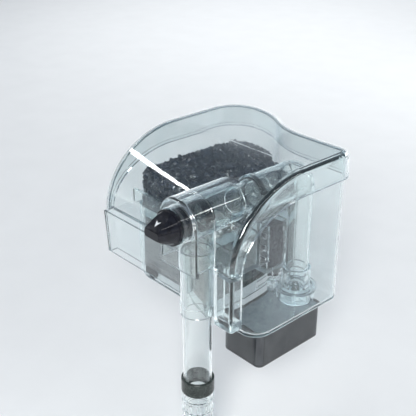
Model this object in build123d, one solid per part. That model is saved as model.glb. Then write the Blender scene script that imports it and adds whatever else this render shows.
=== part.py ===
from build123d import *
from math import cos, radians, sin
import os

# Hang on back filter: a clear box that hangs on the rim of an aquarium.
# +X runs along the glass, -Y points into the aquarium, +Z is up, all in millimetres.
# The origin is the middle of the rim seat, the underside of the deck that rests on the glass.

# Glass slot
SLOT_FRONT = -5.6
SLOT_BACK = 7.0

# How far a cutting shape runs past what it cuts, and a height above everything
PAST = 5.0
TALL = 60.0

# Walls
WALL = 1.8
LID_WALL = 1.6
GAP = 0.3
SNUG = 0.1

# Plan outline of the lid
HALF_WIDTH = 55.0
FRONT_Y = -13.3
BACK_Y = 80.0
BULGE_Y = 95.6
BULGE_START_X = 20.0
BULGE_END_X = -33.0
BULGE_CORNER_R = 22.0
BACK_CORNER_R = 7.5

# Arched side profile of the lid: a quarter ellipse that meets a flat top
ARCH_Y = 40.0
ARCH_Z = 1.2
ARCH_DEPTH = 53.3
ARCH_RISE = 45.5
SKIRT_DEPTH = 46.3
SKIRT_RISE = 30.0
LID_EDGE_R = 4.0
BEAD_T = 0.5
BEAD_RISE = 1.6

# Body
BODY_BOTTOM = -49.0
DECK_TOP = 2.0
SEAM_Z = 0.9
WEIR_Z = 10.0
SADDLE_Z = 20.0
BODY_INSET = LID_WALL + GAP
CAVITY_INSET = BODY_INSET + WALL
BODY_EDGE_R = 3.0
CAVITY_EDGE_R = 2.0
FRONT_CORNER_R = 12.0

# Spout chute and hook leg, both on the aquarium side of the glass
CHUTE_BOTTOM = -25.0
CHUTE_RIGHT = 15.0
CHUTE_TAPER = 2.6
CHUTE_GAP_FRONT = -11.7
CHUTE_GAP_BACK = -7.2
LEG_LEFT = 40.4
LEG_BOTTOM = -32.0
LEG_EDGE = 54.8
LEG_EDGE_R = 2.0
LEG_WALL = 2.6
LEG_FOOT = 5.0

# Bridge axis: the valve, the bridge tube and the knob lie along Y
AXIS_X = 30.5
AXIS_Z = 28.4
BARREL_R = 10.0
BARREL_BORE_R = 8.3
BARREL_END_Y = 10.8
HOOD_FRONT_Y = -26.4
HOOD_BACK_Y = -13.7
HOOD_LEFT = 14.5
HOOD_RIGHT = 43.0
HOOD_TOP = 40.6
HOOD_TOP_R = 12.0
SHROUD_EDGE_R = 1.5
SHROUD_STEP = 3.0
COLLAR_FRONT_Y = -31.9
NECK_R = 8.4
NECK_BORE_R = 6.8
NECK_END_Y = 32.0
PORT_Y = (-21.6, -15.8)
PORT_HALF = 5.0
FIT_GAP = 0.05

# Intake drop
TUBE_Y = -15.0
SLEEVE_R = 8.9
SLEEVE_BORE_R = 8.15
SLEEVE_BOTTOM = -28.0
SLEEVE_RING_R = 9.3
SLEEVE_RING_H = 5.4
TUBE_R = 8.0
TUBE_BORE_R = 6.8
TUBE_TOP = 10.0
TUBE_BOTTOM = -78.0
COLLAR_TOP = -71.0
COLLAR_BOTTOM = -80.0
COLLAR_R = 9.3
COLLAR_RIM_R = 0.6
STRAINER_R = 8.6
STRAINER_BOTTOM = -119.0
STRAINER_SLOTS = 12

# Rear elbow and pump axis
ELBOW_START_Y = 23.5
ELBOW_R = 10.0
ELBOW_BORE_R = 8.7
ELBOW_BEAD_T = 0.6
ELBOW_BEAD_W = 4.0
KNEE_X = 32.5
KNEE_Y = 55.0
KNEE_R = 10.5
PUMP_X = 36.0
PUMP_Y = 57.0
LEG_TUBE_R = 6.8
LEG_TUBE_BORE_R = 5.4
LEG_TUBE_BOTTOM = BODY_BOTTOM + 20.0

# Pump
FLOOR_TOP = BODY_BOTTOM + WALL
COVER_R = 11.0
COVER_TOP = BODY_BOTTOM + 11.5
SHAFT_R = 1.0
SHAFT_TOP = COVER_TOP - 0.4
WELL_R = 6.8
WELL_BORE_R = 5.6
WELL_BOTTOM = BODY_BOTTOM - 19.2
MAGNET_R = 4.9
IMPELLER_BLADES = 6

# Motor housing
MOTOR_LEFT = 20.0
MOTOR_RIGHT = 50.1
MOTOR_FRONT = 14.0
MOTOR_BACK = 66.0
MOTOR_BOTTOM = BODY_BOTTOM - 22.5

# Media chamber
DIVIDER_X = 14.6
GRID_TOP = BODY_BOTTOM + 11.0
SPONGE_TOP = -8.0
FLOSS_TOP = -1.0
CARBON_TOP = 22.5
MEDIA_INSET = CAVITY_INSET + 0.8

# Soft pads on the tank's front
PAD_SPREAD = 34.0
PAD_Z = BODY_BOTTOM + 10.0
PAD_R = 5.0
PAD_THICKNESS = 2.0

# Divider, pocket and grid
DIVIDER_T = 1.6
DIVIDER_TOP = 26.0
DIVIDER_PORT_Y = (46.0, 68.0)
POCKET_LEFT = 41.8
POCKET_RIGHT = 50.6
POCKET_Y = (15.6, 30.0)
POCKET_BOTTOM = -8.0
POCKET_TOP = 20.0
POCKET_T = 1.4
POCKET_SLOTS = 3
POCKET_SLOT = 3.0
POCKET_SLOT_PITCH = 7.0
GRID_T = 2.0
GRID_COLUMNS = 9
GRID_FIRST_X = -42.0
GRID_PITCH = 5.6
GRID_SLOT = 2.6
GRID_SLOT_Y = (16.0, 68.0)
GRID_FEET_X = (GRID_FIRST_X - 3, DIVIDER_X - 5)
GRID_FOOT_R = 2.2

# Seal ring in the elbow
SEAL_R = 9.5
SEAL_Y = 24.6
SEAL_T = 1.8

# Flow knob and valve barrel
KNOB_DISC_R = 9.6
KNOB_DISC_T = 1.6
KNOB_CONE_R = 9.0
KNOB_TIP_R = 5.2
KNOB_TIP_H = 4.2
KNOB_FRONT_Y = -44.5
VALVE_R = 8.0
VALVE_BORE_R = 6.4
VALVE_BAND_END = -22.4
VALVE_PLUG_START = -15.6
VALVE_END_Y = -12.0
VALVE_GATE_X = -2.0
ORING_Y = (-30.4, -26.4)
ORING_T = 1.4
ORING_INNER_R = 7.2
ORING_OUTER_R = 8.2

# Strainer
STRAINER_BORE_R = 7.2
STRAINER_RINGS = (-86.0, -93.5)
STRAINER_RING_T = 0.6
STRAINER_RING_W = 1.6
STRAINER_SLOT_W = 2.2
STRAINER_SLOT_Z = (-115.0, -97.0)

# Cap under the strainer
CAP_T = 2.4
CAP_EDGE_R = 1.4
CAP_SLOTS = 4
CAP_SLOT_W = 1.6
CAP_HUB_R = 2.2
SPIGOT_H = 4.0
SPIGOT_T = 1.4

# Impeller cover, impeller, bushes and well
FLANGE_T = 0.8
COVER_FOOT = FLOOR_TOP + FLANGE_T
COVER_T = 1.4
COVER_ROOF = 2.6
COVER_RIM = 1.6
INLET_GRIP = 4.0
OUTLET_REACH = 4.0
OUTLET_W = 6.4
SPIDER_W = 1.4
BUSH_TOP = COVER_TOP - 0.2
BLADE_LOW = BODY_BOTTOM + 3.6
BLADE_HIGH = BODY_BOTTOM + 8.0
VANE_R = 8.6
VANE_T = 1.2
HUB_R = 3.0
HUB_PLATE_T = 1.2
MAGNET_LOW = BODY_BOTTOM - 15.0
MAGNET_HIGH = BLADE_LOW - 1.6
MAGNET_BORE_R = 2.0
SHAFT_PLAY = 0.06
SHAFT_BOTTOM = BODY_BOTTOM - 17.8
WELL_FLOOR = WELL_BOTTOM + 1.4
WELL_FLANGE = 2.0
BUSH_R = 2.2
BUSH_T = 1.8

# Stator, coil and gland
MOTOR_T = 1.6
MOTOR_CORNER_R = 4.0
MOTOR_FOOT_R = 1.5
CORE_HALF = 11.8
CORE_FRONT = 20.0
CORE_YOKE = 8.0
CORE_BACK = 63.4
CORE_Z = (BODY_BOTTOM - 15.0, BODY_BOTTOM - 5.0)
CORE_WINDOW = 14.0
POLE_DEPTH = 8.5
POLE_GAP = 4.0
BOBBIN_HALF = 6.6
BOBBIN_FLANGE = 3.2
BOBBIN_T = 1.0
WINDING_DROP = 0.5
WINDING_EDGE_R = 1.6
GLAND_X = 28.0
GLAND_Z = BODY_BOTTOM - 11.0
GLAND_R = 3.4
GLAND_FLANGE = 1.2
GLAND_FLANGE_T = 1.6
GLAND_NOSE_R = 3.0
GLAND_REACH = 6.0
LEAD_R = 1.8


def block(x0, x1, y0, y1, z0, z1):
    """A box between two corners."""
    centre = Pos((x0 + x1) / 2, (y0 + y1) / 2, (z0 + z1) / 2)
    return centre * Box(x1 - x0, y1 - y0, z1 - z0)


def rod_z(x, y, radius, z0, z1):
    """A round bar along Z."""
    return Pos(x, y, (z0 + z1) / 2) * Cylinder(radius, z1 - z0)


def rod_y(x, z, radius, y0, y1):
    """A round bar along Y."""
    return Pos(x, (y0 + y1) / 2, z) * Rot(90, 0, 0) * Cylinder(radius, y1 - y0)


def pipe_z(x, y, outer, inner, z0, z1):
    """A tube along Z."""
    return rod_z(x, y, outer, z0, z1) - rod_z(x, y, inner, z0 - 1, z1 + 1)


def pipe_y(x, z, outer, inner, y0, y1):
    """A tube along Y."""
    return rod_y(x, z, outer, y0, y1) - rod_y(x, z, inner, y0 - 1, y1 + 1)


def plan_outline(inset):
    """The outline seen from above: square in front, with a bulge at the back left."""
    middle_x = (BULGE_START_X + BULGE_END_X) / 2
    middle_y = (BACK_Y + BULGE_Y) / 2
    with BuildSketch() as sketch:
        with BuildLine():
            front = Line((-HALF_WIDTH, FRONT_Y), (HALF_WIDTH, FRONT_Y))
            right = Line(front @ 1, (HALF_WIDTH, BACK_Y))
            back = Line(right @ 1, (BULGE_START_X, BACK_Y))
            rise = TangentArc(back @ 1, (middle_x, middle_y), tangent=back % 1)
            crest = TangentArc(rise @ 1, (BULGE_END_X, BULGE_Y), tangent=rise % 1)
            corner_end = (-HALF_WIDTH, BULGE_Y - BULGE_CORNER_R)
            corner = TangentArc(crest @ 1, corner_end, tangent=crest % 1)
            Line(corner @ 1, front @ 0)
        make_face()
        right_back = sketch.vertices().sort_by_distance((HALF_WIDTH, BACK_Y))[0]
        fillet(right_back, BACK_CORNER_R)
        if inset != 0:
            offset(amount=-inset, kind=Kind.INTERSECTION, mode=Mode.REPLACE)
    return sketch.sketch


def plan_prism(inset, z0, z1):
    """The plan outline, pulled in by inset and made solid between two heights."""
    return Pos(0, 0, z0) * extrude(plan_outline(inset), z1 - z0)


def arch_prism(depth, rise, floor_z):
    """Everything below an arch of that depth and rise, down to floor_z."""
    far_y = BULGE_Y + 2 * PAST
    with BuildSketch(Plane.YZ) as sketch:
        with BuildLine():
            arc = EllipticalCenterArc((ARCH_Y, ARCH_Z), depth, rise, start_angle=90, arc_size=90)
            flat = Line((ARCH_Y, ARCH_Z + rise), (far_y, ARCH_Z + rise))
            end = Line(flat @ 1, (far_y, floor_z))
            base = Line(end @ 1, (ARCH_Y - depth, floor_z))
            if floor_z < ARCH_Z:
                Line(base @ 1, arc @ 1)
        make_face()
    return extrude(sketch.sketch, HALF_WIDTH + PAST, both=True)


def dome(inset):
    """The plan under the arch, pulled in by inset and rounded where the arch meets the sides."""
    solid = plan_prism(inset, ARCH_Z, TALL) & arch_prism(ARCH_DEPTH - inset, ARCH_RISE - inset, ARCH_Z)
    upright = solid.edges().filter_by(Axis.Z)
    level = solid.edges().filter_by(lambda edge: edge.center().Z < ARCH_Z + 0.1)
    return fillet(solid.edges() - upright - level, LID_EDGE_R - inset)


def hood_section(inset, y0, y1):
    """The round-shouldered hood over the bridge tube, between two places along Y."""
    height = HOOD_TOP - ARCH_Z - inset
    width = HOOD_RIGHT - HOOD_LEFT - 2 * inset
    middle = (HOOD_LEFT + HOOD_RIGHT) / 2
    with BuildSketch(Plane.XZ.offset(-y1)) as sketch:
        with Locations((middle, ARCH_Z + height / 2)):
            Rectangle(width, height)
        top = sketch.vertices().group_by(Axis.Y)[-1]
        fillet(top, HOOD_TOP_R - inset)
    return extrude(sketch.sketch, y1 - y0)


def lid():
    """Clear arched lid with a skirt round it and a hood over the bridge tube."""
    floor_z = ARCH_Z - PAST
    outside = dome(0) + hood_section(0, FRONT_Y, ARCH_Y)
    inside = dome(LID_WALL) + plan_prism(LID_WALL, floor_z, ARCH_Z)
    inside = inside + hood_section(LID_WALL, FRONT_Y - PAST, ARCH_Y - PAST)
    under_bead = arch_prism(SKIRT_DEPTH + BEAD_RISE, SKIRT_RISE + BEAD_RISE, ARCH_Z)
    bead = plan_prism(-BEAD_T, ARCH_Z, TALL) & under_bead
    shell = outside + bead - inside
    return shell - arch_prism(SKIRT_DEPTH, SKIRT_RISE, floor_z)


def behind_glass(inset, front_y, floor_z, edge_r):
    """The tank's plan behind the glass, round at its front corners and along its floor."""
    far_y = BULGE_Y + PAST
    solid = plan_prism(inset, floor_z, 0) & block(-HALF_WIDTH, HALF_WIDTH, front_y, far_y, floor_z, 0)
    front_corners = solid.edges().filter_by(Axis.Z).group_by(Axis.Y)[0]
    solid = fillet(front_corners, FRONT_CORNER_R - inset + BODY_INSET)
    return fillet(solid.edges().group_by(Axis.Z)[0], edge_r)


def tank():
    """The part of the body behind the glass and the deck over the glass, before cutting."""
    lower = behind_glass(BODY_INSET, SLOT_BACK, BODY_BOTTOM, BODY_EDGE_R)
    return lower + plan_prism(BODY_INSET, 0, ARCH_Z) + dome(BODY_INSET)


def tank_cavity():
    """The hollow behind the glass, rounded along its floor."""
    front_y = SLOT_BACK + WALL
    lower = behind_glass(CAVITY_INSET, front_y, FLOOR_TOP, CAVITY_EDGE_R)
    upper = plan_prism(CAVITY_INSET, 0, TALL)
    return lower + (upper & block(-HALF_WIDTH, HALF_WIDTH, front_y, BULGE_Y + PAST, 0, TALL))


def chute_prism(inset, y0, y1, top, bottom):
    """The spout chute seen from the front, its left side leaning inwards as it drops."""
    left = -LEG_EDGE + inset
    right = CHUTE_RIGHT - inset
    plane = Plane.XZ.offset(-y1)
    corners = [(left, top), (left + CHUTE_TAPER, bottom), (right, bottom), (right, top)]
    face = plane * make_face(Polyline(*corners, close=True))
    return extrude(face, y1 - y0)


def hook_leg():
    """The hollow leg that hooks over the inside of the glass, open towards the glass."""
    outer = block(LEG_LEFT, LEG_EDGE, FRONT_Y, SLOT_FRONT, LEG_BOTTOM, SEAM_Z)
    pocket_x = (LEG_LEFT + LEG_WALL, LEG_EDGE - LEG_WALL)
    pocket = block(*pocket_x, FRONT_Y + WALL, SLOT_FRONT + PAST, LEG_BOTTOM + LEG_FOOT, -WALL)
    front_edges = outer.edges().filter_by(Axis.Z).group_by(Axis.Y)[0]
    outer = fillet(front_edges, LEG_EDGE_R)
    foot_edges = outer.edges().group_by(Axis.Z)[0].group_by(Axis.Y)[:-1]
    return fillet([edge for group in foot_edges for edge in group], LEG_EDGE_R / 2) - pocket


def body_shell():
    """Clear moulding: tank, deck over the glass, spout chute and hook leg."""
    inner_x = HALF_WIDTH - CAVITY_INSET
    shell = tank() - tank_cavity()
    wall_y = (SLOT_BACK - 1, SLOT_BACK + WALL + 1)
    channel = block(-inner_x, inner_x, FRONT_Y - PAST, SLOT_BACK, DECK_TOP, TALL)
    over_weir = block(-inner_x, CHUTE_RIGHT, *wall_y, WEIR_Z, TALL)
    over_saddle = block(CHUTE_RIGHT, inner_x, *wall_y, SADDLE_Z, TALL)
    bridge_seat = rod_y(AXIS_X, AXIS_Z, BARREL_R + GAP, *wall_y)
    shell = shell - channel - over_weir - over_saddle - bridge_seat
    tube_recess = block(CHUTE_RIGHT, LEG_LEFT, FRONT_Y - 1, SLOT_FRONT, -1, DECK_TOP + 1)
    shell = shell - tube_recess
    shell = shell + chute_prism(0, FRONT_Y, SLOT_FRONT, SEAM_Z, CHUTE_BOTTOM) + hook_leg()
    spout = chute_prism(WALL, CHUTE_GAP_FRONT, CHUTE_GAP_BACK, DECK_TOP + 1, CHUTE_BOTTOM - 1)
    shell = shell - spout
    rotor_hole = rod_z(PUMP_X, PUMP_Y, WELL_R + GAP / 3, BODY_BOTTOM - 1, FLOOR_TOP + 1)
    return shell - rotor_hole


def glass_pads():
    """Two soft pads on the front of the tank that keep it square to the glass."""
    pads = Part()
    for x in (-PAD_SPREAD, PAD_SPREAD):
        pads += rod_y(x, PAD_Z, PAD_R, SLOT_BACK - PAD_THICKNESS, SLOT_BACK)
    return pads


def chamber_divider():
    """Clear plate between the media chamber and the pump chamber."""
    front = SLOT_BACK + WALL + SNUG
    back = BACK_Y - CAVITY_INSET - SNUG
    foot = FLOOR_TOP + SNUG
    plate = block(DIVIDER_X, DIVIDER_X + DIVIDER_T, front, back, foot, DIVIDER_TOP)
    corners = plate.edges().filter_by(Axis.X).group_by(Axis.Z)[0]
    plate = fillet(corners, CAVITY_EDGE_R)
    port_z = (foot + DIVIDER_T, GRID_TOP - GRID_T - 1)
    port = block(DIVIDER_X - 1, DIVIDER_X + DIVIDER_T + 1, *DIVIDER_PORT_Y, *port_z)
    return plate - port


def overflow_pocket():
    """Clear pocket on the right wall that holds the small black sponge."""
    y0, y1 = POCKET_Y
    outer = block(POCKET_LEFT, POCKET_RIGHT, y0, y1, POCKET_BOTTOM, POCKET_TOP)
    hollow_x = (POCKET_LEFT + POCKET_T, POCKET_RIGHT + 1)
    hollow_y = (y0 + POCKET_T, y1 - POCKET_T)
    pocket = outer - block(*hollow_x, *hollow_y, POCKET_BOTTOM + POCKET_T, POCKET_TOP + 1)
    for row in range(POCKET_SLOTS):
        z = POCKET_BOTTOM + POCKET_SLOT_PITCH * (row + 1) - 1
        slot_x = (POCKET_LEFT + 2 * POCKET_T, POCKET_RIGHT - POCKET_T)
        pocket -= block(*slot_x, y0 - 1, y1 + 1, z, z + POCKET_SLOT)
    return pocket


def overflow_sponge():
    """Small coarse sponge that drops into the pocket."""
    y0, y1 = POCKET_Y
    inset = POCKET_T + 2 * SNUG
    sponge_z = (POCKET_BOTTOM + inset, POCKET_TOP - 1)
    return block(POCKET_LEFT + inset, POCKET_RIGHT, y0 + inset, y1 - inset, *sponge_z)


def media_prism(z0, z1):
    """The media chamber's plan between two heights, a little clear of its walls."""
    layer = plan_prism(MEDIA_INSET, z0, z1)
    front = SLOT_BACK + WALL + 2 * GAP
    layer = layer & block(-HALF_WIDTH, DIVIDER_X - GAP - SNUG, front, BULGE_Y, z0, z1)
    left_corner = layer.edges().filter_by(Axis.Z).group_by(Axis.Y)[0].sort_by(Axis.X)[0]
    return fillet(left_corner, FRONT_CORNER_R - WALL - 2 * GAP)


def media_grid():
    """Slotted floor plate on feet that holds the media off the bottom."""
    grid = media_prism(GRID_TOP - GRID_T, GRID_TOP)
    for column in range(GRID_COLUMNS):
        x = GRID_FIRST_X + GRID_PITCH * column
        grid -= block(x, x + GRID_SLOT, *GRID_SLOT_Y, GRID_TOP - GRID_T - 1, GRID_TOP + 1)
    for x in GRID_FEET_X:
        for y in GRID_SLOT_Y:
            grid += rod_z(x, y, GRID_FOOT_R, FLOOR_TOP, GRID_TOP - GRID_T)
    return grid


def hood_shroud():
    """The square-fronted shroud round the valve, open below and behind."""
    outer = hood_section(0, HOOD_FRONT_Y, HOOD_BACK_Y)
    front_edges = outer.edges().filter_by(Axis.Z).group_by(Axis.Y)[0]
    outer = fillet(front_edges, SHROUD_EDGE_R)
    inside_y = HOOD_FRONT_Y + LID_WALL
    inner = hood_section(LID_WALL, inside_y, HOOD_BACK_Y + 1)
    open_foot = block(HOOD_LEFT - 1, HOOD_RIGHT + 1, inside_y, HOOD_BACK_Y + 1, 0, ARCH_Z + SHROUD_STEP)
    collar_hole = rod_y(AXIS_X, AXIS_Z, BARREL_R + FIT_GAP, HOOD_FRONT_Y - 1, inside_y + 1)
    return outer - inner - open_foot - collar_hole


def valve_housing():
    """Clear bridge tube: a barrel for the valve, its collar, and a narrower neck."""
    housing = rod_y(AXIS_X, AXIS_Z, BARREL_R, COLLAR_FRONT_Y, BARREL_END_Y)
    housing += rod_y(AXIS_X, AXIS_Z, NECK_R, BARREL_END_Y, NECK_END_Y)
    housing -= rod_y(AXIS_X, AXIS_Z, BARREL_BORE_R, COLLAR_FRONT_Y - 1, BARREL_END_Y - WALL)
    housing -= rod_y(AXIS_X, AXIS_Z, NECK_BORE_R, 0, NECK_END_Y + 1)
    port_left = AXIS_X - PORT_HALF
    port_right = AXIS_X + PORT_HALF
    port_top = AXIS_Z - NECK_BORE_R + 1
    return housing - block(port_left, port_right, *PORT_Y, AXIS_Z - BARREL_R - 1, port_top)


def drop_sleeve():
    """Clear sleeve under the barrel that the intake tube slides in."""
    sleeve = rod_z(AXIS_X, TUBE_Y, SLEEVE_R, SLEEVE_BOTTOM, AXIS_Z)
    sleeve += rod_z(AXIS_X, TUBE_Y, SLEEVE_RING_R, SLEEVE_BOTTOM, SLEEVE_BOTTOM + SLEEVE_RING_H)
    sleeve -= rod_z(AXIS_X, TUBE_Y, SLEEVE_BORE_R, SLEEVE_BOTTOM - 1, AXIS_Z + 1)
    return sleeve - rod_y(AXIS_X, AXIS_Z, BARREL_R + FIT_GAP, HOOD_FRONT_Y, BARREL_END_Y)


def bridge_elbow():
    """Clear rear tube that takes the water from the bridge down to the pump."""
    elbow = rod_y(AXIS_X, AXIS_Z, ELBOW_R, ELBOW_START_Y, KNEE_Y)
    elbow += rod_y(AXIS_X, AXIS_Z, ELBOW_R + ELBOW_BEAD_T, ELBOW_START_Y, ELBOW_START_Y + ELBOW_BEAD_W)
    elbow += Pos(KNEE_X, KNEE_Y, AXIS_Z) * Sphere(KNEE_R)
    elbow += rod_z(PUMP_X, PUMP_Y, LEG_TUBE_R, LEG_TUBE_BOTTOM, AXIS_Z)
    hollow = rod_y(AXIS_X, AXIS_Z, ELBOW_BORE_R, ELBOW_START_Y - 1, KNEE_Y)
    hollow += rod_y(AXIS_X, AXIS_Z, SEAL_R, SEAL_Y, SEAL_Y + SEAL_T)
    hollow += Pos(KNEE_X, KNEE_Y, AXIS_Z) * Sphere(KNEE_R - WALL)
    hollow += rod_z(PUMP_X, PUMP_Y, LEG_TUBE_BORE_R, LEG_TUBE_BOTTOM - 1, AXIS_Z)
    return elbow - hollow


def bridge_seal():
    """Rubber ring between the neck and the elbow."""
    return pipe_y(AXIS_X, AXIS_Z, SEAL_R, NECK_R, SEAL_Y, SEAL_Y + SEAL_T)


def wedge_prism(front_y, back_y, front_height, back_height, half_width):
    """A wedge that is low in front and high at the back, centred on the bridge axis."""
    corners = [
        (front_y, -front_height / 2), (back_y, -back_height / 2),
        (back_y, back_height / 2), (front_y, front_height / 2),
    ]
    face = Plane.YZ * make_face(Polyline(*corners, close=True))
    return Pos(AXIS_X, 0, AXIS_Z) * extrude(face, half_width, both=True)


def knob_handle(base_y):
    """The cone of the knob, flattened above and below into a blade."""
    length = base_y - KNOB_FRONT_Y
    cone = Pos(AXIS_X, base_y - length / 2, AXIS_Z) * Rot(90, 0, 0) * Cone(KNOB_CONE_R, KNOB_TIP_R, length)
    wedge = wedge_prism(KNOB_FRONT_Y, base_y, KNOB_TIP_H, 2 * KNOB_CONE_R, KNOB_CONE_R + 1)
    return cone & wedge


def flow_knob():
    """Black flow valve: a disc with a wedge handle in front, and a slotted barrel behind."""
    disc_back = COLLAR_FRONT_Y - GAP
    disc_front = disc_back - KNOB_DISC_T
    knob = rod_y(AXIS_X, AXIS_Z, KNOB_DISC_R, disc_front, disc_back) + knob_handle(disc_front)
    knob += rod_y(AXIS_X, AXIS_Z, VALVE_R, disc_back, VALVE_END_Y)
    knob -= rod_y(AXIS_X, AXIS_Z, VALVE_BORE_R, VALVE_BAND_END - 2, VALVE_END_Y + 1)
    reach = VALVE_R + 1
    window = block(-reach, reach, VALVE_BAND_END, VALVE_PLUG_START, -reach, reach)
    gate = block(-reach, VALVE_GATE_X, VALVE_BAND_END, VALVE_PLUG_START, -reach, reach)
    knob -= Pos(AXIS_X, 0, AXIS_Z) * (window - gate)
    for y in ORING_Y:
        knob -= pipe_y(AXIS_X, AXIS_Z, VALVE_R + 1, ORING_INNER_R, y, y + ORING_T)
    return knob


def knob_oring(y):
    """One rubber ring in a groove of the valve barrel."""
    return pipe_y(AXIS_X, AXIS_Z, ORING_OUTER_R, ORING_INNER_R, y, y + ORING_T)


def intake_tube():
    """Clear tube that slides in the drop sleeve."""
    return pipe_z(AXIS_X, TUBE_Y, TUBE_R, TUBE_BORE_R, TUBE_BOTTOM, TUBE_TOP)


def tube_collar():
    """Dark collar that joins the intake tube to the strainer."""
    collar = pipe_z(AXIS_X, TUBE_Y, COLLAR_R, TUBE_R, TUBE_BOTTOM, COLLAR_TOP)
    collar += pipe_z(AXIS_X, TUBE_Y, COLLAR_R, TUBE_BORE_R, COLLAR_BOTTOM, TUBE_BOTTOM)
    outer_rims = collar.edges().filter_by(GeomType.CIRCLE).sort_by(SortBy.RADIUS)[-2:]
    return fillet(outer_rims, COLLAR_RIM_R)


def strainer():
    """Clear slotted cage at the foot of the intake."""
    cage = pipe_z(AXIS_X, TUBE_Y, STRAINER_R, STRAINER_BORE_R, STRAINER_BOTTOM, COLLAR_BOTTOM)
    for z in STRAINER_RINGS:
        ring_r = STRAINER_R + STRAINER_RING_T
        cage += pipe_z(AXIS_X, TUBE_Y, ring_r, STRAINER_BORE_R + 1, z, z + STRAINER_RING_W)
    half_slot = STRAINER_SLOT_W / 2
    for slot in range(STRAINER_SLOTS):
        angle = 360 / STRAINER_SLOTS * slot
        cutter = block(STRAINER_BORE_R - 1, STRAINER_R + 1, -half_slot, half_slot, *STRAINER_SLOT_Z)
        cage -= Pos(AXIS_X, TUBE_Y, 0) * Rot(0, 0, angle) * cutter
    return cage


def strainer_cap():
    """Snap-in foot of the strainer with a spigot and four slots."""
    base = STRAINER_BOTTOM - CAP_T
    top = STRAINER_BOTTOM + SPIGOT_H
    cap = rod_z(AXIS_X, TUBE_Y, STRAINER_R, base, STRAINER_BOTTOM)
    cap = fillet(cap.edges().group_by(Axis.Z)[0], CAP_EDGE_R)
    cap += pipe_z(AXIS_X, TUBE_Y, STRAINER_BORE_R, STRAINER_BORE_R - SPIGOT_T, STRAINER_BOTTOM, top)
    slot_x = (CAP_HUB_R, STRAINER_BORE_R - SPIGOT_T)
    half_slot = CAP_SLOT_W / 2
    for slot in range(CAP_SLOTS):
        cutter = block(*slot_x, -half_slot, half_slot, base - 1, STRAINER_BOTTOM + 1)
        cap -= Pos(AXIS_X, TUBE_Y, 0) * Rot(0, 0, 360 / CAP_SLOTS * slot) * cutter
    return cap


def impeller_cover():
    """Clear cover over the impeller, with an inlet collar and an outlet port."""
    ceiling = COVER_TOP - COVER_ROOF
    inlet_top = LEG_TUBE_BOTTOM + INLET_GRIP
    outlet_left = PUMP_X - COVER_R - OUTLET_REACH
    half_outer = OUTLET_W / 2 + COVER_T
    half_inner = OUTLET_W / 2
    cover = rod_z(PUMP_X, PUMP_Y, COVER_R, COVER_FOOT, COVER_TOP)
    cover += rod_z(PUMP_X, PUMP_Y, COVER_R + COVER_T, COVER_TOP - COVER_RIM, COVER_TOP)
    cover += rod_z(PUMP_X, PUMP_Y, LEG_TUBE_R + COVER_T + SNUG, COVER_TOP, inlet_top)
    outlet_y = (PUMP_Y - half_outer, PUMP_Y + half_outer)
    cover += block(outlet_left, PUMP_X - WELL_R, *outlet_y, COVER_FOOT, COVER_TOP - COVER_RIM)
    cover -= rod_z(PUMP_X, PUMP_Y, COVER_R - COVER_T, COVER_FOOT - 1, ceiling)
    cover -= rod_z(PUMP_X, PUMP_Y, LEG_TUBE_R + SNUG, LEG_TUBE_BOTTOM, inlet_top + 1)
    cover -= rod_z(PUMP_X, PUMP_Y, LEG_TUBE_BORE_R, COVER_FOOT, LEG_TUBE_BOTTOM + 1)
    port_y = (PUMP_Y - half_inner, PUMP_Y + half_inner)
    cover -= block(outlet_left - 1, PUMP_X - LEG_TUBE_BORE_R, *port_y, COVER_FOOT + COVER_T, ceiling - 1)
    arm = LEG_TUBE_BORE_R + GAP
    spider = block(-arm, arm, -SPIDER_W / 2, SPIDER_W / 2, ceiling, COVER_TOP)
    cover += Pos(PUMP_X, PUMP_Y, 0) * (spider + Rot(0, 0, 90) * spider)
    cover += rod_z(PUMP_X, PUMP_Y, BUSH_R + 1, ceiling, COVER_TOP + 1)
    return cover - rod_z(PUMP_X, PUMP_Y, BUSH_R, ceiling - 1, BUSH_TOP)


def impeller():
    """Paddle wheel on a hollow hub that carries the magnet."""
    wheel = rod_z(PUMP_X, PUMP_Y, HUB_R, MAGNET_HIGH, BLADE_HIGH)
    wheel += rod_z(PUMP_X, PUMP_Y, MAGNET_R, MAGNET_HIGH, MAGNET_HIGH + HUB_PLATE_T)
    for blade in range(IMPELLER_BLADES):
        angle = 360 / IMPELLER_BLADES * blade
        vane = block(MAGNET_BORE_R, VANE_R, -VANE_T / 2, VANE_T / 2, BLADE_LOW, BLADE_HIGH)
        wheel += Pos(PUMP_X, PUMP_Y, 0) * Rot(0, 0, angle) * vane
    wheel += rod_z(PUMP_X, PUMP_Y, MAGNET_BORE_R, MAGNET_LOW, BLADE_LOW)
    return wheel - rod_z(PUMP_X, PUMP_Y, SHAFT_R + SHAFT_PLAY, MAGNET_LOW - 1, BLADE_HIGH + 1)


def rotor_magnet():
    """Ring magnet on the impeller's hub."""
    return pipe_z(PUMP_X, PUMP_Y, MAGNET_R, MAGNET_BORE_R, MAGNET_LOW, MAGNET_HIGH)


def impeller_shaft():
    """Fixed ceramic pin that the impeller turns on."""
    return rod_z(PUMP_X, PUMP_Y, SHAFT_R, SHAFT_BOTTOM, SHAFT_TOP)


def upper_bush():
    """Rubber bush that holds the top of the shaft in the cover."""
    return pipe_z(PUMP_X, PUMP_Y, BUSH_R, SHAFT_R, COVER_TOP - COVER_ROOF + SNUG, BUSH_TOP)


def lower_bush():
    """Rubber bush that holds the foot of the shaft in the well."""
    return pipe_z(PUMP_X, PUMP_Y, WELL_BORE_R, SHAFT_R, WELL_FLOOR, WELL_FLOOR + BUSH_T)


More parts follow.
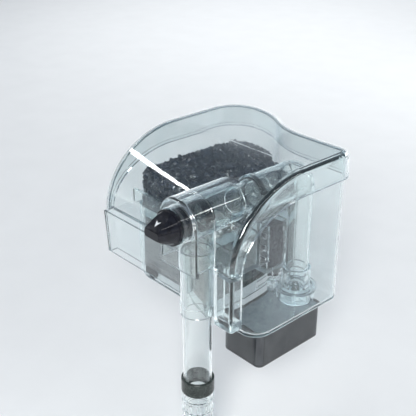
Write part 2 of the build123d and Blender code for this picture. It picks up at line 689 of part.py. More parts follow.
def rotor_well():
    """Closed cup below the floor that the magnet turns in."""
    well = rod_z(PUMP_X, PUMP_Y, WELL_R, WELL_BOTTOM, FLOOR_TOP)
    well += rod_z(PUMP_X, PUMP_Y, WELL_R + WELL_FLANGE, FLOOR_TOP, FLOOR_TOP + FLANGE_T)
    return well - rod_z(PUMP_X, PUMP_Y, WELL_BORE_R, WELL_FLOOR, FLOOR_TOP + 1)


def motor_housing():
    """Smoky housing under the pump chamber, open at its top against the floor."""
    outer = block(MOTOR_LEFT, MOTOR_RIGHT, MOTOR_FRONT, MOTOR_BACK, MOTOR_BOTTOM, BODY_BOTTOM)
    outer = fillet(outer.edges().filter_by(Axis.Z), MOTOR_CORNER_R)
    outer = fillet(outer.edges().group_by(Axis.Z)[0], MOTOR_FOOT_R)
    inner = motor_cavity(BODY_BOTTOM + 1)
    lead_hole = rod_y(GLAND_X, GLAND_Z, GLAND_R, MOTOR_BACK - MOTOR_T - 1, MOTOR_BACK + 1)
    return outer - inner - lead_hole


def motor_cavity(top):
    """The room inside the motor housing, from its floor up to top."""
    room_x = (MOTOR_LEFT + MOTOR_T, MOTOR_RIGHT - MOTOR_T)
    room_y = (MOTOR_FRONT + MOTOR_T, MOTOR_BACK - MOTOR_T)
    room = block(*room_x, *room_y, MOTOR_BOTTOM + MOTOR_T, top)
    return fillet(room.edges().filter_by(Axis.Z), MOTOR_CORNER_R - MOTOR_T)


def stator_core():
    """Laminated iron with two poles round the rotor well."""
    low, high = CORE_Z
    core = block(PUMP_X - CORE_HALF, PUMP_X + CORE_HALF, CORE_FRONT, CORE_BACK, low, high)
    cut_z = (low - 1, high + 1)
    window_y = (CORE_FRONT + CORE_YOKE, PUMP_Y - POLE_DEPTH)
    core -= block(PUMP_X - CORE_WINDOW / 2, PUMP_X + CORE_WINDOW / 2, *window_y, *cut_z)
    core -= rod_z(PUMP_X, PUMP_Y, WELL_R + GAP, *cut_z)
    core -= block(PUMP_X - POLE_GAP / 2, PUMP_X + POLE_GAP / 2, window_y[1] - PAST, CORE_BACK + 1, *cut_z)
    return core


def bobbin_solid(grow, x0, x1):
    """A box round the yoke of the stator, grown evenly."""
    low, high = CORE_Z
    return block(
        x0, x1, CORE_FRONT - grow, CORE_FRONT + CORE_YOKE + grow, low - grow, high + grow
    )


def coil_bobbin():
    """Former with two flanges on the yoke of the stator."""
    x0 = PUMP_X - BOBBIN_HALF
    x1 = PUMP_X + BOBBIN_HALF
    bobbin = bobbin_solid(BOBBIN_T, x0, x1)
    bobbin += bobbin_solid(BOBBIN_FLANGE, x0, x0 + BOBBIN_T)
    bobbin += bobbin_solid(BOBBIN_FLANGE, x1 - BOBBIN_T, x1)
    return bobbin - bobbin_solid(0, x0 - 1, x1 + 1)


def coil_winding():
    """Copper winding between the flanges of the former."""
    x0 = PUMP_X - BOBBIN_HALF + BOBBIN_T
    x1 = PUMP_X + BOBBIN_HALF - BOBBIN_T
    winding = bobbin_solid(BOBBIN_FLANGE - WINDING_DROP, x0, x1)
    winding = fillet(winding.edges().filter_by(Axis.X), WINDING_EDGE_R)
    return winding - bobbin_solid(BOBBIN_T, x0 - 1, x1 + 1)


def potting_resin():
    """Resin that fills the motor housing round the stator, the coil and the well."""
    resin = motor_cavity(BODY_BOTTOM - 2 * GAP)
    x0 = PUMP_X - BOBBIN_HALF
    x1 = PUMP_X + BOBBIN_HALF
    resin -= stator_core()
    resin -= bobbin_solid(BOBBIN_FLANGE, x0, x1)
    return resin - rod_z(PUMP_X, PUMP_Y, WELL_R, WELL_BOTTOM, BODY_BOTTOM + 1)


def cord_gland():
    """Rubber inlet for the supply lead, at the back of the motor housing."""
    inlet_start = MOTOR_BACK - MOTOR_T
    gland = rod_y(GLAND_X, GLAND_Z, GLAND_R, inlet_start, MOTOR_BACK)
    flange_end = MOTOR_BACK + GLAND_FLANGE_T
    gland_end = MOTOR_BACK + GLAND_REACH
    gland += rod_y(GLAND_X, GLAND_Z, GLAND_R + GLAND_FLANGE, MOTOR_BACK, flange_end)
    gland += rod_y(GLAND_X, GLAND_Z, GLAND_NOSE_R, flange_end, gland_end)
    return gland - rod_y(GLAND_X, GLAND_Z, LEAD_R, inlet_start - 1, gland_end + 1)


NODES = {
    "body_shell": body_shell(),
    "glass_pads": glass_pads(),
    "chamber_divider": chamber_divider(),
    "overflow_pocket": overflow_pocket(),
    "overflow_sponge": overflow_sponge(),
    "media_grid": media_grid(),
    "filter_sponge": media_prism(GRID_TOP + SNUG, SPONGE_TOP),
    "floss_pad": media_prism(SPONGE_TOP + SNUG, FLOSS_TOP),
    "carbon_media": media_prism(FLOSS_TOP + SNUG, CARBON_TOP),
    "lid": lid(),
    "hood_shroud": hood_shroud(),
    "valve_housing": valve_housing(),
    "drop_sleeve": drop_sleeve(),
    "bridge_elbow": bridge_elbow(),
    "bridge_seal": bridge_seal(),
    "flow_knob": flow_knob(),
    "knob_oring_front": knob_oring(ORING_Y[0]),
    "knob_oring_rear": knob_oring(ORING_Y[1]),
    "intake_tube": intake_tube(),
    "tube_collar": tube_collar(),
    "strainer": strainer(),
    "strainer_cap": strainer_cap(),
    "impeller_cover": impeller_cover(),
    "impeller": impeller(),
    "rotor_magnet": rotor_magnet(),
    "impeller_shaft": impeller_shaft(),
    "upper_bush": upper_bush(),
    "lower_bush": lower_bush(),
    "rotor_well": rotor_well(),
    "motor_housing": motor_housing(),
    "stator_core": stator_core(),
    "coil_bobbin": coil_bobbin(),
    "coil_winding": coil_winding(),
    "potting_resin": potting_resin(),
    "cord_gland": cord_gland(),
}

if __name__ == "__main__":
    os.makedirs("parts", exist_ok=True)
    for name, shape in NODES.items():
        export_step(shape, f"parts/{name}.step")
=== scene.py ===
from math import pi, radians

import bmesh
import bpy
import numpy as np
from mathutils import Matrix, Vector, noise


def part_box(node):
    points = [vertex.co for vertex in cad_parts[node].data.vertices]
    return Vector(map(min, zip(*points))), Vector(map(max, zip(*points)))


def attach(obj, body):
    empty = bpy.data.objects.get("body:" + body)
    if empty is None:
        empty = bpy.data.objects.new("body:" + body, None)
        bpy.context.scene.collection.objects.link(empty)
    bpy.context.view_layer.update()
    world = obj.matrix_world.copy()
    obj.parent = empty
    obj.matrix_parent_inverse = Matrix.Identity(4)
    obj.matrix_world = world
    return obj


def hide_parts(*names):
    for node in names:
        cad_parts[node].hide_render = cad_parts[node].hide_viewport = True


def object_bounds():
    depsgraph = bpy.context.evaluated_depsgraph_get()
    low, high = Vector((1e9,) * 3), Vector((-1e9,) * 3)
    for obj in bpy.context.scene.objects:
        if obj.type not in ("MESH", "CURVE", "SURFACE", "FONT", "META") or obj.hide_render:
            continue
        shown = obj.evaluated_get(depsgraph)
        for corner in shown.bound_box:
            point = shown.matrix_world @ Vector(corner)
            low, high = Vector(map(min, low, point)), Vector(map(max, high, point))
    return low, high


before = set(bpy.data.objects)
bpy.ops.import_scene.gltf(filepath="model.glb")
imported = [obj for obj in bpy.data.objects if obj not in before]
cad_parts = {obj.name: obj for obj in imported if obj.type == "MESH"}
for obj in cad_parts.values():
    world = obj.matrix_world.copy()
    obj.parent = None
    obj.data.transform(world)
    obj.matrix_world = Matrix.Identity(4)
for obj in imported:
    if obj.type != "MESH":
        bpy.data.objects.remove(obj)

# Looks of a hang on back aquarium filter: clear mouldings over black carbon, foam and a black valve.
# Every length is in metres, in the frame of the CAD model.

MM = 0.001
CAD_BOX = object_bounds()

# Camera, aimed at the bridge tube's neck from the front right and above
CAMERA_AIM = Vector((0.0142, 0.0076, 0.0202))
CAMERA_AZIMUTH = radians(47.63)
CAMERA_ELEVATION = radians(25.67)
CAMERA_DISTANCE = 0.42
CAMERA_LENS = 67.1
CAMERA_NEAR = 10 * MM

# Optics of the clear plastic
PLASTIC_IOR = 1.5
PLASTIC_TINT = (0.35, 0.72, 0.76, 1)
PLASTIC_DENSITY = 18.0
TUBE_DENSITY = 12.0
RIPPLE = 0.02 * MM
EDGE_GLOW = (0.93, 0.98, 1.0, 1)
CLEAR_CAST = (0.5, 0.56, 0.6, 1)
SMOKY_CAST = (0.55, 0.57, 0.58, 1)
MOST_BOUNCES = 24

# Colours, each as a pair that its surface varies between
CLEAR_BODY = ((0.95, 0.98, 0.98, 1), (0.98, 0.995, 0.995, 1))
CLEAR_LID = ((0.95, 0.985, 0.985, 1), (0.98, 0.995, 0.995, 1))
CLEAR_TUBE = ((0.96, 0.985, 0.98, 1), (0.985, 0.995, 0.99, 1))
CLEAR_INNER = ((0.93, 0.965, 0.98, 1), (0.97, 0.985, 0.99, 1))
SMOKY_GREY = ((0.07, 0.075, 0.085, 1), (0.14, 0.15, 0.16, 1))
SATIN_BLACK = ((0.004, 0.004, 0.006, 1), (0.011, 0.012, 0.017, 1))
COLLAR_GREEN = ((0.012, 0.017, 0.015, 1), (0.03, 0.04, 0.036, 1))
PLASTIC_WHITE = ((0.74, 0.74, 0.71, 1), (0.84, 0.84, 0.82, 1))
RESIN_GREY = ((0.2, 0.21, 0.215, 1), (0.33, 0.34, 0.345, 1))
MARK_PALE = ((0.5, 0.52, 0.55, 1), (0.72, 0.74, 0.76, 1))
CARBON_BLACK = ((0.004, 0.005, 0.008, 1), (0.03, 0.036, 0.05, 1))
# Foam: its dark end is painted shade in the pores, its light end the web.
FOAM_BLACK = ((0.004, 0.004, 0.006, 1), (0.05, 0.053, 0.062, 1))
# Floss: its darker end is painted shade in the gaps between the fibres.
FLOSS_WHITE = ((0.52, 0.56, 0.55, 1), (0.9, 0.92, 0.9, 1))
RUBBER_BLACK = ((0.012, 0.012, 0.013, 1), (0.05, 0.05, 0.052, 1))
STEEL_RUST = ((0.42, 0.43, 0.45, 1), (0.3, 0.17, 0.1, 1))
# Copper wire: its dark end is painted shade in the grooves between the turns.
COPPER_RED = ((0.3, 0.1, 0.035, 1), (0.78, 0.36, 0.16, 1))
CERAMIC_WHITE = ((0.83, 0.82, 0.78, 1), (0.93, 0.92, 0.89, 1))
FERRITE_GREY = ((0.05, 0.05, 0.055, 1), (0.13, 0.13, 0.14, 1))
FLOOR_PALE = ((0.82, 0.83, 0.83, 1), (0.84, 0.85, 0.85, 1))

# Carbon grains: the ranges are shares of GRAIN_SIZE
GRAIN_SIZE = 1.3 * MM
GRAIN_COUNT = 4600
GRAIN_SEED = 11
GRAIN_RADIUS = (0.65, 1.2)
GRAIN_STRETCH = (0.7, 1.15)
GRAIN_CHIP = (-0.22, 0.22)
GRAIN_SEAT = (-0.5, 0.15)
CORE_VOXEL = 1.6 * MM
CORE_DEPTH = 0.7 * MM
CORE_TOP_DEPTH = 1.3 * MM
FACES_UP = 0.5

# Foam blocks
FOAM_PORE = 1.9 * MM
FOAM_SKIN = 0.35 * MM
PIT_REACH = 0.55
WELD = 0.01 * MM

# Arrowhead on the knob: each corner's place across the facet and behind the knob's front
MARK_OUTLINE = ((-1.5 * MM, 5.2 * MM), (0.0, 2.4 * MM), (1.5 * MM, 5.2 * MM), (0.0, 4.4 * MM))
MARK_THICKNESS = 0.3 * MM
DOWN = Vector((0, 0, -1))

# Floor, with room under the intake for its slide to run right down
FLOOR_SIZE = 8.0
FLOOR_GAP = 20.5 * MM

# Lamps: place and target from the object's middle, width, height, watts, cone in degrees
MIDDLE = (0, 0, 0)
BEHIND = (-0.95, 1.1, 0)
LAMPS = {
    "fill": ((0.66, -0.72, 0.62), MIDDLE, 0.35, 0.35, 14.0, 180),
    "key": ((-0.72, -0.22, 0.65), MIDDLE, 0.5, 0.03, 1.5, 180),
    "side": ((0.7, 0.12, 0.65), MIDDLE, 1.1, 0.05, 1.2, 180),
    "rim": ((0.15, 0.95, 0.28), MIDDLE, 0.7, 0.12, 2.5, 180),
    "backdrop": ((-0.75, 0.9, 1.1), BEHIND, 1.2, 1.2, 7.0, 110),
}

# Surrounding light, by the height of its direction above the horizon
SKY_HORIZON = (1.0, 1.0, 1.0, 1)
SKY_LOW_AT = 0.14
SKY_LOW = (0.42, 0.46, 0.5, 1)
SKY_TOP_AT = 0.32
SKY_TOP = (0.13, 0.155, 0.19, 1)
SKY_STRENGTH = 1.2


class Shader:
    """One material's node tree. Its texture space is the CAD frame, in metres."""

    def __init__(self, name):
        self.material = bpy.data.materials.new(name)
        self.material.use_nodes = True
        self.nodes = self.material.node_tree.nodes
        self.links = self.material.node_tree.links
        self.nodes.clear()
        self.output = self.nodes.new("ShaderNodeOutputMaterial")
        self.place = self.nodes.new("ShaderNodeTexCoord").outputs["Object"]

    def node(self, kind, sockets, **settings):
        """Adds a node, and sets or links each named input."""
        made = self.nodes.new("ShaderNode" + kind)
        for key, value in settings.items():
            setattr(made, key, value)
        for key, value in sockets.items():
            if isinstance(value, bpy.types.NodeSocket):
                self.links.new(value, made.inputs[key])
            else:
                made.inputs[key].default_value = value
        return made

    def stretched(self, scale):
        """The texture space scaled by three numbers, for grain that runs one way."""
        return self.node("Mapping", {"Vector": self.place, "Scale": scale}).outputs["Vector"]

    def noise(self, size, detail=2.0, rough=0.5, place=None):
        """Soft noise with patches of about that size."""
        sockets = {
            "Vector": place or self.place,
            "Scale": 1 / size,
            "Detail": detail,
            "Roughness": rough,
        }
        return self.node("TexNoise", sockets).outputs["Fac"]

    def cells(self, size, output="Distance"):
        """Voronoi cells of about that size."""
        return self.node("TexVoronoi", {"Vector": self.place, "Scale": 1 / size}).outputs[output]

    def waves(self, per_metre, direction, distortion):
        """Parallel ridges along one direction."""
        sockets = {"Vector": self.place, "Scale": per_metre, "Distortion": distortion}
        return self.node("TexWave", sockets, bands_direction=direction).outputs["Fac"]

    def spread(self, value, low, high, start=0.3, end=0.7):
        """Maps start..end of a value onto low..high."""
        sockets = {"Value": value, "From Min": start, "From Max": end, "To Min": low, "To Max": high}
        return self.node("MapRange", sockets).outputs["Result"]

    def mask(self, value, start=0.3, end=0.7):
        """Maps start..end of a value onto 0..1."""
        return self.spread(value, 0.0, 1.0, start, end)

    def within(self, mask, low, high):
        """Maps a 0..1 mask onto low..high."""
        return self.spread(mask, low, high, 0.0, 1.0)

    def math(self, operation, first, second):
        """One sum of two values."""
        return self.node("Math", {0: first, 1: second}, operation=operation).outputs[0]

    def blend(self, mask, pair):
        """A pair of colours, mixed by a mask."""
        first, second = pair
        return self.node("Mix", {0: mask, 6: first, 7: second}, data_type="RGBA").outputs[2]

    def bump(self, height, distance, strength, under=None):
        """A bumped normal, on top of another if there is one."""
        sockets = {"Height": height, "Distance": distance, "Strength": strength}
        if under is not None:
            sockets["Normal"] = under
        return self.node("Bump", sockets).outputs["Normal"]

    def principled(self, sockets):
        """Adds a Principled shader and returns its output."""
        return self.node("BsdfPrincipled", sockets).outputs["BSDF"]

    def show(self, shader):
        """Shows this shader on the surface and returns the material."""
        self.links.new(shader, self.output.inputs["Surface"])
        return self.material

    def show_clear(self, glass, cast):
        """Shows this see-through shader, with a tinted shadow instead of a black one."""
        lamps_pass = self.node("BsdfTransparent", {"Color": cast}).outputs["BSDF"]
        is_shadow = self.node("LightPath", {}).outputs["Is Shadow Ray"]
        return self.show(self.node("MixShader", {0: is_shadow, 1: glass, 2: lamps_pass}).outputs["Shader"])


def clear_plastic(name, tints, roughness=0.02, density=PLASTIC_DENSITY):
    """Clear moulded plastic: faint mould ripple, fine scratches, a blue-green tint in its thickness."""
    s = Shader(name)
    scratches = s.noise(1.2 * MM, detail=4.0, rough=0.6, place=s.stretched((1.0, 1.0, 9.0)))
    flow = s.bump(s.noise(14 * MM, detail=1.0), distance=RIPPLE * 3, strength=0.5)
    skin = s.bump(s.noise(1.6 * MM), distance=RIPPLE / 4, strength=0.5, under=flow)
    glass = s.principled({
        "Base Color": s.blend(s.mask(s.noise(9 * MM)), tints),
        "Roughness": s.spread(scratches, roughness, roughness + 0.05, start=0.45, end=0.75),
        "IOR": PLASTIC_IOR,
        "Transmission Weight": 1.0,
        "Sheen Weight": 1.0,
        "Sheen Roughness": 0.3,
        "Sheen Tint": EDGE_GLOW,
        "Normal": skin,
    })
    inside = s.node("VolumeAbsorption", {"Color": PLASTIC_TINT, "Density": density})
    s.links.new(inside.outputs["Volume"], s.output.inputs["Volume"])
    return s.show_clear(glass, CLEAR_CAST)


def smoky():
    """Dark smoky plastic, just see-through, with the same faint roughness and fine bump on every face."""
    s = Shader("smoky_grey")
    haze = s.mask(s.noise(6 * MM, detail=3.0))
    glass = s.principled({
        "Base Color": s.blend(haze, SMOKY_GREY),
        "Roughness": s.within(haze, 0.08, 0.18),
        "IOR": PLASTIC_IOR,
        "Transmission Weight": 0.7,
        "Normal": s.bump(s.noise(0.6 * MM, detail=3.0), distance=0.03 * MM, strength=0.6),
    })
    return s.show_clear(glass, SMOKY_CAST)


def moulded_plastic(name, colours, roughness, grain, specular=0.5):
    """Opaque moulded plastic with a fine spark-eroded grain and faint handling marks."""
    s = Shader(name)
    handling = s.noise(2.2 * MM, detail=4.0, rough=0.6)
    return s.show(s.principled({
        "Base Color": s.blend(s.mask(s.noise(3 * MM, detail=3.0)), colours),
        "Roughness": s.spread(handling, roughness - 0.07, roughness + 0.09),
        "Specular IOR Level": specular,
        "Normal": s.bump(s.noise(0.35 * MM), distance=0.012 * MM, strength=grain),
    }))


def carbon():
    """Crushed carbon: near black, each grain a little different, with glossy broken faces."""
    s = Shader("carbon_grains")
    per_grain = s.node("SeparateColor", {"Color": s.cells(2 * MM, "Color")}).outputs
    pits = s.noise(0.4 * MM, detail=4.0, rough=0.65)
    return s.show(s.principled({
        "Base Color": s.blend(per_grain["Red"], CARBON_BLACK),
        "Roughness": s.within(per_grain["Green"], 0.05, 0.3),
        "Specular IOR Level": 1.0,
        "Normal": s.bump(pits, distance=0.12 * MM, strength=0.4),
    }))


def foam(name, colours, pore):
    """Open foam: a lighter web, with painted shade darkening its pores."""
    s = Shader(name)
    web = s.mask(s.cells(pore), start=0.1, end=0.55)
    patch = s.spread(s.noise(12 * MM), 0.75, 1.0)
    fibres = s.bump(s.noise(pore / 3, detail=3.0), distance=0.15 * MM, strength=0.6)
    return s.show(s.principled({
        # Darkest at the pore centres, where the bump is lowest: painted shade in the pores, under a random
        # tone from patch.
        "Base Color": s.blend(s.math("MULTIPLY", web, patch), colours),
        "Roughness": s.within(web, 0.95, 0.7),
        "Specular IOR Level": 0.25,
        "Normal": s.bump(s.cells(pore), distance=0.6 * MM, strength=0.9, under=fibres),
    }))


def floss():
    """White fibre wool: fine crossed fibres, with painted shade darkening the gaps between them."""
    s = Shader("floss_fibres")
    along = s.noise(0.5 * MM, detail=3.0, rough=0.7, place=s.stretched((0.12, 1.0, 1.0)))
    across = s.noise(0.5 * MM, detail=3.0, rough=0.7, place=s.stretched((1.0, 0.12, 1.0)))
    fibres = s.math("MAXIMUM", along, across)
    return s.show(s.principled({
        # Darker where the fibre pattern is low: painted shade in the gaps between fibres.
        "Base Color": s.blend(s.mask(fibres, start=0.4), FLOSS_WHITE),
        "Roughness": s.spread(fibres, 0.75, 0.95),
        "Sheen Weight": 0.4,
        "Normal": s.bump(fibres, distance=0.4 * MM, strength=0.8),
    }))


def rubber():
    """Black rubber with a dull bloom."""
    s = Shader("rubber_black")
    bloom = s.mask(s.noise(2.5 * MM, detail=4.0, rough=0.6))
    return s.show(s.principled({
        "Base Color": s.blend(bloom, RUBBER_BLACK),
        "Roughness": s.within(bloom, 0.45, 0.7),
        "Normal": s.bump(s.noise(0.3 * MM), distance=0.04 * MM, strength=0.6),
    }))


def laminated_iron():
    """Stacked steel sheets, seen as fine lines round the core, with a little rust."""
    s = Shader("laminated_iron")
    sheets = s.waves(per_metre=320.0, direction="Z", distortion=0.0)
    rust = s.spread(s.noise(3 * MM, detail=4.0, rough=0.6), 0.0, 0.35, start=0.5, end=0.8)
    return s.show(s.principled({
        "Base Color": s.blend(rust, STEEL_RUST),
        "Metallic": 0.9,
        "Roughness": s.within(sheets, 0.3, 0.5),
        "Normal": s.bump(sheets, distance=0.1 * MM, strength=0.8),
    }))


def copper_wire():
    """Enamelled wire wound side by side, with painted shade darkening the grooves between the turns."""
    s = Shader("copper_wire")
    wire_ridges_and_groove_shade = s.waves(per_metre=400.0, direction="X", distortion=0.4)
    return s.show(s.principled({
        # Darker in the grooves between the turns, lighter on their crests: painted shade.
        "Base Color": s.blend(wire_ridges_and_groove_shade, COPPER_RED),
        "Metallic": 0.85,
        "Roughness": s.spread(s.noise(2 * MM), 0.22, 0.4),
        "Coat Weight": 0.5,
        "Normal": s.bump(wire_ridges_and_groove_shade, distance=0.25 * MM, strength=1.0),
    }))


def ceramic():
    """Ground white ceramic."""
    s = Shader("ceramic_white")
    speck = s.mask(s.noise(0.6 * MM, detail=3.0))
    return s.show(s.principled({
        "Base Color": s.blend(speck, CERAMIC_WHITE),
        "Roughness": s.within(speck, 0.12, 0.25),
        "Normal": s.bump(s.noise(0.2 * MM), distance=0.01 * MM, strength=0.5),
    }))


def ferrite():
    """Sintered magnet: dark grey, fine grain."""
    s = Shader("ferrite_grey")
    grain = s.mask(s.noise(0.5 * MM, detail=4.0, rough=0.7))
    return s.show(s.principled({
        "Base Color": s.blend(grain, FERRITE_GREY),
        "Metallic": 0.3,
        "Roughness": s.within(grain, 0.4, 0.62),
        "Normal": s.bump(grain, distance=0.06 * MM, strength=0.7),
    }))


def floor_material():
    """Pale backdrop paper."""
    s = Shader("pale_floor")
    tone = s.mask(s.noise(40 * MM, detail=3.0))
    return s.show(s.principled({
        "Base Color": s.blend(tone, FLOOR_PALE),
        "Roughness": s.within(tone, 0.88, 0.95),
        "Specular IOR Level": 0.0,
    }))


def paint_nodes():
    """Gives every CAD node its finished material."""
    tube = clear_plastic("clear_tube", CLEAR_TUBE, roughness=0.015, density=TUBE_DENSITY)
    chosen = {
        clear_plastic("clear_body", CLEAR_BODY): ("body_shell",),
        clear_plastic("clear_lid", CLEAR_LID): ("lid",),
        tube: (
            "hood_shroud", "valve_housing", "drop_sleeve", "bridge_elbow",
            "intake_tube", "strainer", "strainer_cap",
        ),
        clear_plastic("clear_inner", CLEAR_INNER, roughness=0.04): (
            "chamber_divider", "overflow_pocket", "impeller_cover",
        ),
        moulded_plastic("black_satin", SATIN_BLACK, roughness=0.12, grain=0.12, specular=0.3): (
            "flow_knob", "media_grid",
        ),
        moulded_plastic("dark_collar", COLLAR_GREEN, roughness=0.25, grain=0.4): ("tube_collar",),
        moulded_plastic("white_plastic", PLASTIC_WHITE, roughness=0.4, grain=0.5): (
            "impeller", "coil_bobbin", "rotor_well",
        ),
        moulded_plastic("grey_resin", RESIN_GREY, roughness=0.35, grain=0.3): ("potting_resin",),
        rubber(): (
            "glass_pads", "bridge_seal", "knob_oring_front", "knob_oring_rear",
            "upper_bush", "lower_bush", "cord_gland",
        ),
        smoky(): ("motor_housing",),
        ferrite(): ("rotor_magnet",),
        ceramic(): ("impeller_shaft",),
        laminated_iron(): ("stator_core",),
        copper_wire(): ("coil_winding",),
    }
    for material, names in chosen.items():
        for name in names:
            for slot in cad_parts[name].material_slots:
                slot.material = material


def new_piece(name, mesh, material, body):
    """Adds a piece that rides on a body."""
    piece = bpy.data.objects.new(name, mesh)
    bpy.context.scene.collection.objects.link(piece)
    mesh.materials.clear()
    mesh.materials.append(material)
    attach(piece, body)
    return piece


def mesh_from(made, name):
    """Turns a bmesh into a mesh and frees it."""
    mesh = bpy.data.meshes.new(name)
    made.to_mesh(mesh)
    made.free()
    return mesh


def welded(node):
    """A copy of a CAD node's mesh with its split corners joined."""
    made = bmesh.new()
    made.from_mesh(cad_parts[node].data)
    bmesh.ops.remove_doubles(made, verts=made.verts, dist=WELD)
    return mesh_from(made, node + "_copy")


def remeshed(node, voxel):
    """A CAD node's shape as an even mesh of small quads."""
    start = bpy.data.objects.new("remesh", welded(node))
    bpy.context.scene.collection.objects.link(start)
    remesh = start.modifiers.new("even", "REMESH")
    remesh.mode = "VOXEL"
    remesh.voxel_size = voxel
    view = bpy.context.evaluated_depsgraph_get()
    mesh = bpy.data.meshes.new_from_object(start.evaluated_get(view))
    bpy.data.objects.remove(start)
    return mesh


def pushed(mesh, depth):
    """Moves each vertex inwards along its normal by depth(place, normal)."""
    moved = [v.co - v.normal * depth(v.co, v.normal) for v in mesh.vertices]
    mesh.vertices.foreach_set("co", np.array(moved, dtype=np.float32).ravel())
    mesh.update()
    return mesh


def swell(place, per_metre, height):
    """Smooth waves of about that many per metre, up to that height."""
    return noise.noise(place * per_metre) * height


def surface_points(mesh, count, rng):
    """Seeded random points over a mesh, each with its normal."""
    mesh.calc_loop_triangles()
    corners = np.array([t.vertices for t in mesh.loop_triangles])
    points = np.array([v.co for v in mesh.vertices])
    a, b, c = points[corners].transpose(1, 0, 2)
    cross = np.cross(b - a, c - a)
    size = np.linalg.norm(cross, axis=1)
    pick = rng.choice(len(size), count, p=size / size.sum())
    u, v = rng.random((2, count, 1))
    flip = u + v > 1
    u, v = np.where(flip, 1 - u, u), np.where(flip, 1 - v, v)
    place = a[pick] + u * (b - a)[pick] + v * (c - a)[pick]
    return place, cross[pick] / size[pick, None]


def random_turns(count, rng):
    """That many random rotation matrices."""
    q = rng.normal(size=(count, 4))
    w, x, y, z = (q / np.linalg.norm(q, axis=1, keepdims=True)).T
    return np.array([
        [1 - 2 * (y * y + z * z), 2 * (x * y - z * w), 2 * (x * z + y * w)],
        [2 * (x * y + z * w), 1 - 2 * (x * x + z * z), 2 * (y * z - x * w)],
        [2 * (x * z - y * w), 2 * (y * z + x * w), 1 - 2 * (x * x + y * y)],
    ]).transpose(2, 0, 1)


def grain_shape():
    """Corners and faces of the round solid that each grain is broken from."""
    made = bmesh.new()
    bmesh.ops.create_icosphere(made, subdivisions=1, radius=1.0)
    corners = np.array([v.co for v in made.verts])
    faces = np.array([[v.index for v in f.verts] for f in made.faces])
    made.free()
    return corners, faces


def carbon_core():
    """The rough dark block that the grains sit on, lowest at its top."""

    def sink(place, normal):
        depth = CORE_DEPTH + swell(place, per_metre=260, height=0.5 * MM)
        if normal.z > FACES_UP:
            depth += CORE_TOP_DEPTH + swell(place, per_metre=45, height=1.4 * MM)
        return depth

    return pushed(remeshed("carbon_media", CORE_VOXEL), sink)


def carbon_bed():
    """Broken carbon grains over a rough dark core, in place of the plain CAD block."""
    rng = np.random.default_rng(GRAIN_SEED)
    core = carbon_core()
    place, normal = surface_points(core, GRAIN_COUNT, rng)
    corners, faces = grain_shape()
    radius = GRAIN_SIZE * rng.uniform(*GRAIN_RADIUS, (GRAIN_COUNT, 1, 1))
    stretch = rng.uniform(*GRAIN_STRETCH, (GRAIN_COUNT, 1, 3))
    broken = corners[None] * (1 + rng.uniform(*GRAIN_CHIP, (GRAIN_COUNT, len(corners), 1)))
    shaped = (broken * stretch * radius) @ random_turns(GRAIN_COUNT, rng)
    centres = place + normal * rng.uniform(*GRAIN_SEAT, (GRAIN_COUNT, 1)) * GRAIN_SIZE
    points = (shaped + centres[:, None]).reshape(-1, 3)
    steps = (np.arange(GRAIN_COUNT) * len(corners))[:, None, None]
    grain_faces = (faces[None] + steps).reshape(-1, 3)
    core_points = np.array([v.co for v in core.vertices])
    core_faces = [tuple(i + len(points) for i in p.vertices) for p in core.polygons]
    mesh = bpy.data.meshes.new("carbon_grains")
    mesh.from_pydata(
        np.concatenate([points, core_points]).tolist(), [], grain_faces.tolist() + core_faces
    )
    bed = new_piece("carbon_grains", mesh, carbon(), "body")
    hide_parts("carbon_media")


def foam_block(node, name, material, voxel, pore, depth):
    """A block of open foam with real pores in its faces, in place of a plain CAD block."""

    def pit(place, normal):
        nearest = noise.voronoi(place / pore)[0][0]
        wave = swell(place, per_metre=60, height=0.3 * MM)
        return FOAM_SKIN + wave + max(0.0, PIT_REACH - nearest) * depth

    mesh = pushed(remeshed(node, voxel), pit)
    mesh.polygons.foreach_set("use_smooth", [True] * len(mesh.polygons))
    block = new_piece(name, mesh, material, "body")
    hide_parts(node)


def media():
    """The carbon, the floss and the two sponges."""
    carbon_bed()
    black_foam = foam("foam_black", FOAM_BLACK, FOAM_PORE)
    foam_block(
        "filter_sponge", "main_sponge", black_foam,
        voxel=1.2 * MM, pore=2.4 * MM, depth=1.6 * MM,
    )
    foam_block(
        "overflow_sponge", "pocket_sponge", black_foam,
        voxel=0.7 * MM, pore=2.0 * MM, depth=1.2 * MM,
    )
    foam_block(
        "floss_pad", "floss_layer", floss(),
        voxel=1.1 * MM, pore=3.5 * MM, depth=0.8 * MM,
    )


def pointer_mark():
    """A small pale arrowhead, raised on the knob's upper facet."""
    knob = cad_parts["flow_knob"]
    to_knob = knob.matrix_world.inverted()
    low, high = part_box("flow_knob")
    middle_x = (low.x + high.x) / 2
    corners = []
    for across, behind in MARK_OUTLINE:
        above = Vector((middle_x + across, low.y + behind, high.z + MM))
        place, normal = knob.ray_cast(to_knob @ above, DOWN)[1:3]
        corners.append(knob.matrix_world @ place - normal * MARK_THICKNESS / 2)
    made = bmesh.new()
    face = made.faces.new([made.verts.new(corner) for corner in corners])
    face.normal_update()
    raised = bmesh.ops.extrude_face_region(made, geom=[face])["geom"]
    lifted = [part for part in raised if isinstance(part, bmesh.types.BMVert)]
    bmesh.ops.translate(made, verts=lifted, vec=normal * MARK_THICKNESS)
    bmesh.ops.recalc_face_normals(made, faces=made.faces)
    mesh = mesh_from(made, "pointer_mark")
    paint = moulded_plastic("pale_mark", MARK_PALE, roughness=0.35, grain=0.3)
    new_piece("pointer_mark", mesh, paint, "knob")


def floor():
    """The pale floor."""
    low = CAD_BOX[0]
    bpy.ops.mesh.primitive_plane_add(size=FLOOR_SIZE, location=(0, 0, low.z - FLOOR_GAP))
    plane = bpy.context.object
    plane.name = "floor"
    plane.data.materials.append(floor_material())


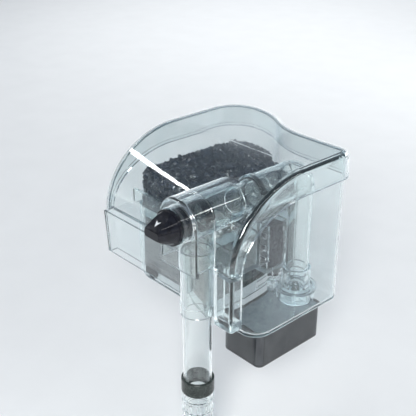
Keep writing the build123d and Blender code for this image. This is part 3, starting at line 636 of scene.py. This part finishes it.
def lamps():
    """The soft studio lamps."""
    low, high = CAD_BOX
    centre = (low + high) / 2
    for name, (place, target, width, height, power, cone) in LAMPS.items():
        lamp = bpy.data.lights.new(name, "AREA")
        lamp.shape = "RECTANGLE"
        lamp.size = width
        lamp.size_y = height
        lamp.energy = power
        lamp.spread = radians(cone)
        light = bpy.data.objects.new(name, lamp)
        light.location = centre + Vector(place)
        aim = centre + Vector(target) - light.location
        light.rotation_euler = aim.to_track_quat("-Z", "Y").to_euler()
        bpy.context.scene.collection.objects.link(light)


def sky():
    """The surrounding light: white at the horizon and dim overhead."""
    world = bpy.data.worlds.new("studio")
    bpy.context.scene.world = world
    world.use_nodes = True
    tree = world.node_tree
    back = tree.nodes["Background"]
    height = tree.nodes.new("ShaderNodeSeparateXYZ")
    ramp = tree.nodes.new("ShaderNodeValToRGB")
    stops = ramp.color_ramp.elements
    stops[0].color = SKY_HORIZON
    stops[1].position = SKY_TOP_AT
    stops[1].color = SKY_TOP
    stops.new(SKY_LOW_AT).color = SKY_LOW
    direction = tree.nodes.new("ShaderNodeTexCoord").outputs["Generated"]
    tree.links.new(direction, height.inputs[0])
    tree.links.new(height.outputs["Z"], ramp.inputs["Fac"])
    tree.links.new(ramp.outputs["Color"], back.inputs["Color"])
    back.inputs["Strength"].default_value = SKY_STRENGTH


def camera():
    """The camera, above the front right of the filter."""
    lens = bpy.data.cameras.new("camera")
    lens.lens = CAMERA_LENS
    lens.clip_start = CAMERA_NEAR
    viewer = bpy.data.objects.new("camera", lens)
    viewer.rotation_euler = (pi / 2 - CAMERA_ELEVATION, 0, CAMERA_AZIMUTH)
    backwards = Vector((0, 0, 1))
    backwards.rotate(viewer.rotation_euler)
    viewer.location = CAMERA_AIM + backwards * CAMERA_DISTANCE
    bpy.context.scene.collection.objects.link(viewer)
    bpy.context.scene.camera = viewer


def light_paths():
    """Enough bounces to see through every clear wall in a row."""
    cycles = bpy.context.scene.cycles
    cycles.max_bounces = MOST_BOUNCES
    cycles.transmission_bounces = MOST_BOUNCES
    cycles.transparent_max_bounces = MOST_BOUNCES
    bpy.context.scene.view_settings.view_transform = "Standard"


camera()
floor()
lamps()
sky()
light_paths()
paint_nodes()
media()
pointer_mark()
